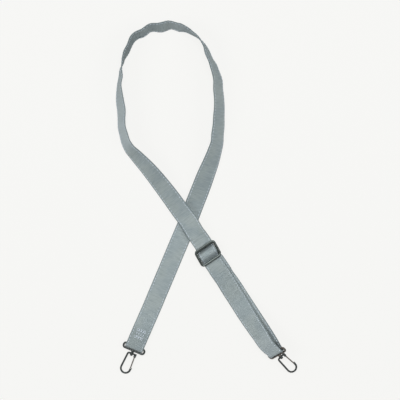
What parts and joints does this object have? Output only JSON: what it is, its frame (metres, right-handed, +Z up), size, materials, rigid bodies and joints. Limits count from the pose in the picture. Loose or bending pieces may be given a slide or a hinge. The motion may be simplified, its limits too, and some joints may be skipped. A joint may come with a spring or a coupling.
{
  "type": "bag strap",
  "caption": "Detachable adjustable bag strap: woven webbing crossed in a loop, with a slider buckle and a swivel snap hook at each end.",
  "frame": {"origin": "middle of the strap's footprint on the table it lies on, at table height", "axes": "+Z up from the table, +Y from the hooks to the loop, +X to the right seen from above with the loop away from the viewer"},
  "size_m": [0.2436, 0.4738, 0.025],
  "materials": {
    "webbing": "woven webbing, matte, fine ribs across, topstitched edges",
    "gunmetal_hardware": "gunmetal plating on cast zinc, polished",
    "steel_pins": "drawn steel"
  },
  "bodies": {
    "webbing": {"strap_loop": "webbing", "strap_front_run": "webbing", "strap_return_run": "webbing"},
    "slider": {"slider_frame": "gunmetal_hardware", "strap_sewn_end": "webbing"},
    "left_eye": {"left_swivel_eye": "gunmetal_hardware"},
    "left_hook": {"left_hook_body": "gunmetal_hardware", "left_gate_pin": "steel_pins", "left_gate_spring": "steel_pins"},
    "left_gate": {"left_gate": "gunmetal_hardware"},
    "right_eye": {"right_swivel_eye": "gunmetal_hardware"},
    "right_hook": {"right_hook_body": "gunmetal_hardware", "right_gate_pin": "steel_pins", "right_gate_spring": "steel_pins"},
    "right_gate": {"right_gate": "gunmetal_hardware"}
  },
  "joints": [
    {"name": "slider_travel", "type": "slide", "parent": "webbing", "child": "slider", "axis": [0.5632, -0.8263, 0], "range_m": [-0.014, 0.07], "deforming": ["strap_front_run", "strap_return_run"]},
    {"name": "left_eye_swing", "type": "hinge", "parent": "webbing", "child": "left_eye", "pos_m": [-0.09616, -0.19968, 0.00306], "axis": [-0.92, 0.392, 0], "range_deg": [-97, 102]},
    {"name": "left_hook_swivel", "type": "hinge", "parent": "left_eye", "child": "left_hook", "pos_m": [-0.10045, -0.20975, 0.00262], "axis": [-0.3917, -0.9192, -0.0402], "continuous": true},
    {"name": "left_gate_swing", "type": "hinge", "parent": "left_hook", "child": "left_gate", "pos_m": [-0.09657, -0.2139, 0.00253], "axis": [0.0157, 0.0369, -0.9992], "range_deg": [0, 28], "stiffness_Nm_per_rad": 0.004, "springref_deg": -28.65, "deforming": ["left_gate_spring"]},
    {"name": "right_eye_swing", "type": "hinge", "parent": "webbing", "child": "right_eye", "pos_m": [0.09213, -0.20654, 0.01208], "axis": [-0.6496, -0.406, -0.6428], "range_deg": [-74, 125]},
    {"name": "right_hook_swivel", "type": "hinge", "parent": "right_eye", "child": "right_hook", "pos_m": [0.09969, -0.21388, 0.00908], "axis": [0.6898, -0.6702, -0.2738], "continuous": true},
    {"name": "right_gate_swing", "type": "hinge", "parent": "right_hook", "child": "right_gate", "pos_m": [0.1049, -0.21169, 0.00845], "axis": [-0.1964, 0.1908, -0.9618], "range_deg": [0, 28], "stiffness_Nm_per_rad": 0.004, "springref_deg": -28.65, "deforming": ["right_gate_spring"]}
  ]
}
